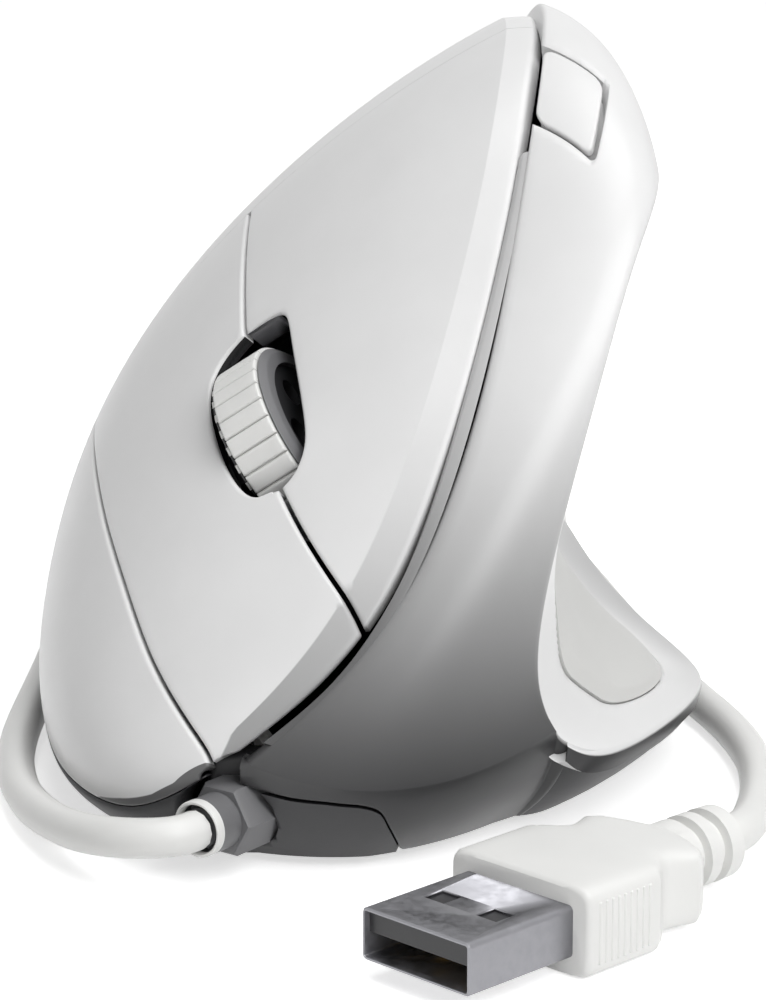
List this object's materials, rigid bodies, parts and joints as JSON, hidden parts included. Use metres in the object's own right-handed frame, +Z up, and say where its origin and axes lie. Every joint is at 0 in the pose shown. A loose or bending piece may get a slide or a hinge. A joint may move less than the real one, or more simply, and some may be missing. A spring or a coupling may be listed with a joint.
{
  "type": "vertical ergonomic computer mouse",
  "caption": "Right-handed vertical computer mouse: tall fin-shaped body with main keys and wheel on the finger side, a thumb scoop with side keys, and a coiled USB cord.",
  "frame": {"origin": "on the table under the middle of the mouse body, cord left out", "axes": "+X to the thumb side, +Y to the rear (palm end), +Z up; the cord leaves at the front, -Y"},
  "size_m": [0.0718, 0.2115, 0.0684],
  "materials": {
    "shell_plastic": "pearl silver-white, satin gloss",
    "base_plastic": "graphite grey",
    "pad_plastic": "light grey, fine grain",
    "wheel_rubber": "white, ribbed",
    "black_plastic": "black, moulded",
    "blue_plastic": "dark blue, moulded",
    "button_plastic": "ivory, moulded",
    "circuit_board": "green solder mask",
    "steel": "plain steel",
    "plug_steel": "nickel plated",
    "clear_plastic": "clear moulded lens",
    "glide_plastic": "white low-friction plastic",
    "cord_sheath": "white soft plastic",
    "tongue_plastic": "white moulded",
    "contact_gold": "gold plated"
  },
  "bodies": {
    "base": {"finger_shell": "shell_plastic", "thumb_shell": "shell_plastic", "thumb_pad": "pad_plastic", "bottom_shell": "base_plastic", "wheel_guides": "steel", "left_switch": "black_plastic", "right_switch": "black_plastic", "middle_switch": "black_plastic", "button_board": "circuit_board", "side_board": "circuit_board", "forward_switch": "black_plastic", "back_switch": "black_plastic", "dpi_board": "circuit_board", "dpi_switch": "black_plastic", "chassis": "black_plastic", "main_board": "circuit_board", "sensor_chip": "black_plastic", "sensor_lens": "clear_plastic", "light_source": "clear_plastic", "cord_connector": "button_plastic", "cord_inner": "cord_sheath", "case_screws": "steel", "glide_feet": "glide_plastic", "strain_relief": "cord_sheath", "cord_lead": "cord_sheath", "cord_coil": "cord_sheath", "cord_tail": "cord_sheath", "cord_tie": "black_plastic", "plug_overmould": "cord_sheath", "plug_shell": "plug_steel", "plug_tongue": "tongue_plastic", "plug_contacts": "contact_gold"},
    "left_key": {"left_button": "shell_plastic", "left_plunger": "button_plastic"},
    "right_key": {"right_button": "shell_plastic", "right_plunger": "button_plastic"},
    "wheel_cradle": {"wheel_carrier": "black_plastic", "encoder": "blue_plastic", "middle_plunger": "button_plastic"},
    "wheel": {"wheel_tyre": "wheel_rubber", "wheel_hub": "black_plastic"},
    "forward_key": {"forward_button": "shell_plastic", "forward_plunger": "button_plastic"},
    "back_key": {"back_button": "shell_plastic", "back_plunger": "button_plastic"},
    "resolution_key": {"dpi_button": "shell_plastic", "dpi_plunger": "button_plastic"}
  },
  "joints": [
    {"name": "left_key_press", "type": "hinge", "parent": "base", "child": "left_key", "pos_m": [0.00556, -0.00397, 0.05655], "axis": [0.8085, -0.0121, 0.5883], "range_deg": [0, 0.5], "stiffness_Nm_per_rad": 0.5, "springref_deg": -1.72},
    {"name": "right_key_press", "type": "hinge", "parent": "base", "child": "right_key", "pos_m": [-0.01616, 0.00338, 0.03473], "axis": [0.5827, -0.0337, 0.812], "range_deg": [0, 0.5], "stiffness_Nm_per_rad": 0.5, "springref_deg": -1.72},
    {"name": "wheel_press", "type": "slide", "parent": "base", "child": "wheel_cradle", "axis": [0.5704, 0.505, -0.6477], "range_m": [0, 0.0006], "stiffness_N_per_m": 400, "springref_m": -0.002},
    {"name": "wheel_spin", "type": "hinge", "parent": "wheel_cradle", "child": "wheel", "pos_m": [-0.00672, -0.02822, 0.03173], "axis": [0.8045, -0.1849, 0.5644], "continuous": true},
    {"name": "forward_key_press", "type": "slide", "parent": "base", "child": "forward_key", "axis": [-0.9137, -0.0202, 0.4058], "range_m": [0, 0.0005], "stiffness_N_per_m": 100, "springref_m": -0.002},
    {"name": "back_key_press", "type": "slide", "parent": "base", "child": "back_key", "axis": [-0.9137, -0.0202, 0.4058], "range_m": [0, 0.0005], "stiffness_N_per_m": 100, "springref_m": -0.002},
    {"name": "resolution_key_press", "type": "slide", "parent": "base", "child": "resolution_key", "axis": [0.1475, 0.5552, -0.8186], "range_m": [0, 0.0005], "stiffness_N_per_m": 100, "springref_m": -0.002}
  ]
}
